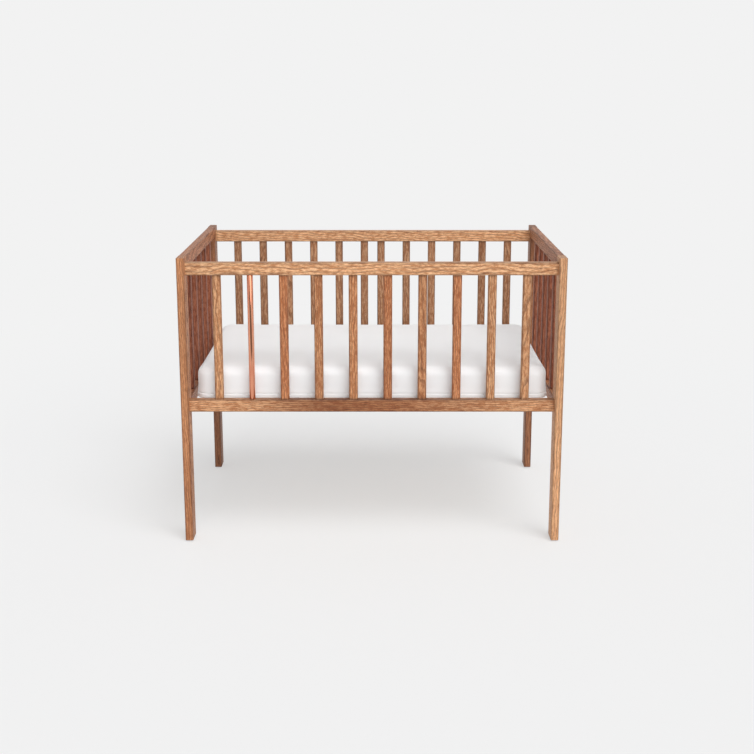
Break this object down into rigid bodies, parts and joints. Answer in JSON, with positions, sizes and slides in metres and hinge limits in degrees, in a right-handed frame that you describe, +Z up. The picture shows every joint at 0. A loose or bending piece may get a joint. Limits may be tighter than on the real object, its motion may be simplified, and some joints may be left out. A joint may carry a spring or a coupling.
{
  "type": "mini crib",
  "caption": "Compact rectangular crib on long straight legs, with slatted wooden sides, a single polished copper rod among the front slats, a slatted base and a soft mattress.",
  "frame": {"origin": "centre of the crib's footprint on the floor", "axes": "+Z up; +X along the crib's length, to the right seen from the front; the front side, with the copper rod, faces -Y"},
  "size_m": [0.96, 0.575, 0.74],
  "materials": {
    "oak": "oiled medium brown oak, satin",
    "base_wood": "plain planed softwood",
    "beech_dowel": "plain beech",
    "copper": "polished copper",
    "zinc_steel": "zinc plated",
    "glide_plastic": "matte",
    "mattress_fabric": "white cotton knit",
    "mattress_filling": "foam"
  },
  "bodies": {
    "crib_frame": {"back_bottom_rail": "oak", "back_cleat": "base_wood", "back_left_leg": "oak", "back_right_leg": "oak", "back_slat_1": "oak", "back_slat_10": "oak", "back_slat_11": "oak", "back_slat_12": "oak", "back_slat_2": "oak", "back_slat_3": "oak", "back_slat_4": "oak", "back_slat_5": "oak", "back_slat_6": "oak", "back_slat_7": "oak", "back_slat_8": "oak", "back_slat_9": "oak", "back_top_rail": "oak", "barrel_nuts": "zinc_steel", "base_screws": "zinc_steel", "base_slat_1": "base_wood", "base_slat_2": "base_wood", "base_slat_3": "base_wood", "base_slat_4": "base_wood", "base_slat_5": "base_wood", "base_slat_6": "base_wood", "base_slat_7": "base_wood", "connector_bolts": "zinc_steel", "copper_rod": "copper", "foot_glides": "glide_plastic", "front_bottom_rail": "oak", "front_cleat": "base_wood", "front_left_leg": "oak", "front_right_leg": "oak", "front_slat_1": "oak", "front_slat_2": "oak", "front_slat_3": "oak", "front_slat_4": "oak", "front_slat_5": "oak", "front_slat_6": "oak", "front_slat_7": "oak", "front_slat_8": "oak", "front_slat_9": "oak", "front_top_rail": "oak", "left_end_bottom_rail": "oak", "left_end_slat_1": "oak", "left_end_slat_2": "oak", "left_end_slat_3": "oak", "left_end_slat_4": "oak", "left_end_slat_5": "oak", "left_end_top_rail": "oak", "locating_dowels": "beech_dowel", "right_end_bottom_rail": "oak", "right_end_slat_1": "oak", "right_end_slat_2": "oak", "right_end_slat_3": "oak", "right_end_slat_4": "oak", "right_end_slat_5": "oak", "right_end_top_rail": "oak"},
    "mattress": {"mattress_cover": "mattress_fabric", "mattress_core": "mattress_filling"}
  },
  "joints": [
    {"name": "mattress_lift", "type": "slide", "parent": "crib_frame", "child": "mattress", "axis": [0, 0, 1], "range_m": [0, 0.4]}
  ]
}
